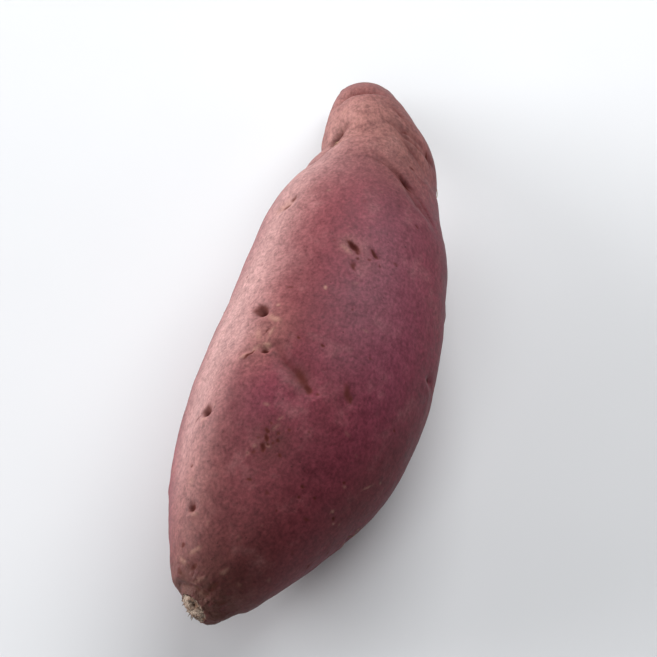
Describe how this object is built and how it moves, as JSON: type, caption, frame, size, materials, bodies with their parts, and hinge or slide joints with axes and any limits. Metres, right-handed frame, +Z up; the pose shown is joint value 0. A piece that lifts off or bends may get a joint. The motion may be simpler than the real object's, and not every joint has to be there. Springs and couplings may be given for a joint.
{
  "type": "sweet potato",
  "caption": "Spindle-shaped sweet potato with red-purple skin, eyes, a stem scar and a bent, tapering tail, lying on a small flat spot.",
  "frame": {"origin": "middle of the base of the box round the root, in the plane it lies on", "axes": "+X along the root from the stem scar to the tail, +Y to its left as seen from the scar, +Z up"},
  "size_m": [0.1696, 0.0588, 0.054],
  "materials": {
    "skin": "thin dull-satin red-purple skin, tan where it is corky"
  },
  "bodies": {
    "root": {"sweet_potato": "skin"}
  },
  "joints": []
}
